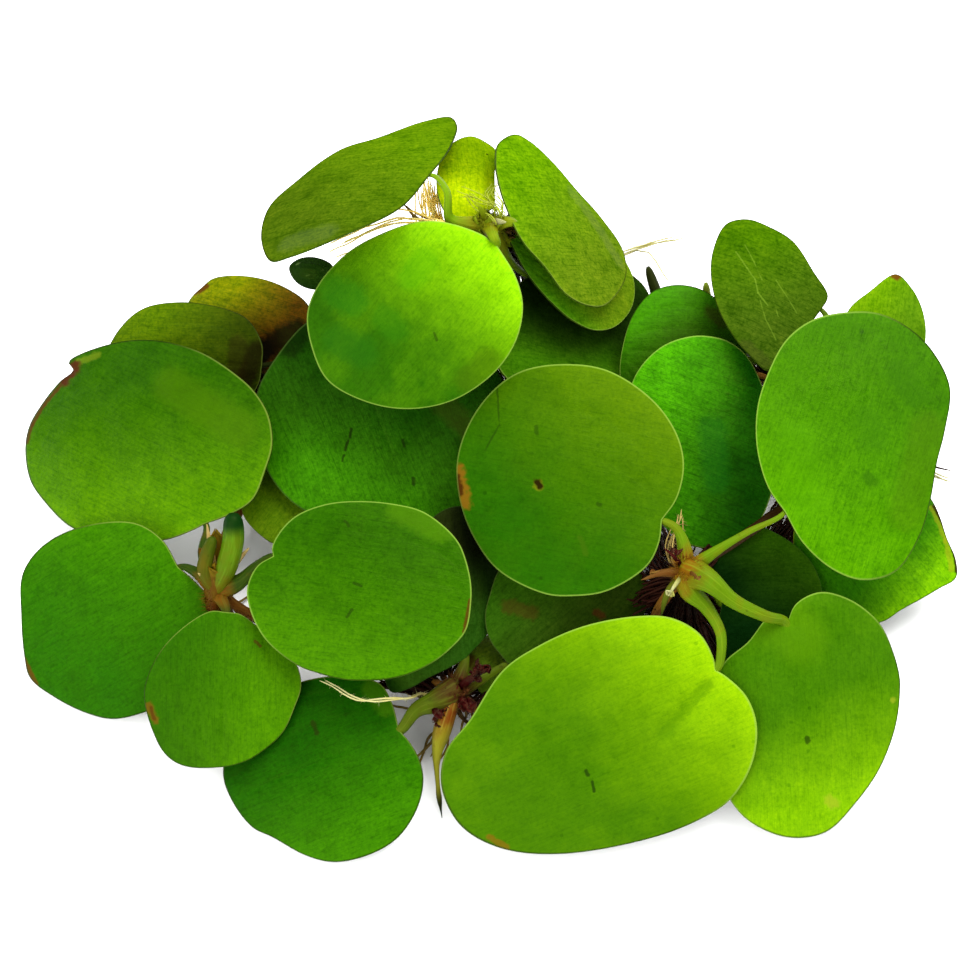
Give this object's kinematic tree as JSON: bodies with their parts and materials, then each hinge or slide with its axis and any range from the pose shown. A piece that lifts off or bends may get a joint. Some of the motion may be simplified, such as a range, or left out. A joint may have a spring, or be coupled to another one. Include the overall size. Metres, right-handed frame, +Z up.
{
  "type": "clump of amazon frogbit",
  "caption": "Heaped clump of floating plant rosettes: rounded leaf blades on stems, joined by runners, lying on matted root tufts with flat undersides.",
  "frame": {"origin": "centre of the bounding box at the level of the root tufts' undersides, which is the surface the clump lies on", "axes": "+X to the right as the clump is seen from its front, +Y to the back, +Z up"},
  "size_m": [0.1214, 0.0921, 0.0441],
  "materials": {
    "leaf_lime": "satin",
    "leaf_mid": "satin",
    "leaf_olive": "satin",
    "leaf_dark": "satin",
    "leaf_brown": "satin",
    "crown": "matte",
    "root": "matte",
    "runner": "matte"
  },
  "bodies": {
    "root": {"crown_top": "crown", "crown_right": "crown", "crown_left": "crown", "crown_front": "crown", "crown_back_right": "crown", "crown_back_left": "crown", "leaf_top_left": "leaf_olive", "leaf_top_behind": "leaf_lime", "leaf_top_right": "leaf_mid", "leaf_top_right_under": "leaf_dark", "leaf_top_front": "leaf_lime", "leaf_top_lowest": "leaf_dark", "leaf_right_back": "leaf_mid", "leaf_right_front": "leaf_mid", "leaf_front_large": "leaf_lime", "leaf_centre": "leaf_olive", "leaf_right_under": "leaf_dark", "leaf_left_back": "leaf_olive", "leaf_left_side": "leaf_mid", "leaf_left_front": "leaf_mid", "leaf_left_right": "leaf_mid", "leaf_front_left": "leaf_mid", "leaf_front_back": "leaf_dark", "leaf_front_right": "leaf_dark", "leaf_front_small": "leaf_brown", "leaf_back_right_low": "leaf_mid", "leaf_back_right_tip": "leaf_lime", "leaf_back_right_high": "leaf_olive", "leaf_back_right_wide": "leaf_dark", "leaf_back_right_behind": "leaf_mid", "leaf_back_left_wide": "leaf_dark", "leaf_back_left_brown": "leaf_brown", "leaf_back_left_olive": "leaf_brown", "leaf_back_left_under": "leaf_olive", "leaf_back_left_small": "leaf_dark", "roots_top": "root", "roots_right": "root", "roots_left": "root", "roots_front": "root", "roots_back_right": "root", "roots_back_left": "root", "runner_left_to_front": "runner", "runner_front_to_right": "runner", "runner_right_to_back": "runner", "runner_left_to_back": "runner", "runner_back_to_top": "runner", "runner_top_to_back": "runner", "young_leaf_left": "leaf_lime", "bud_left": "leaf_mid", "shoot_front": "leaf_brown", "stalk_right_dry": "leaf_brown", "stalk_right_green": "leaf_lime", "young_leaf_back_dark": "leaf_dark", "young_leaf_back_green": "leaf_lime"}
  },
  "joints": []
}
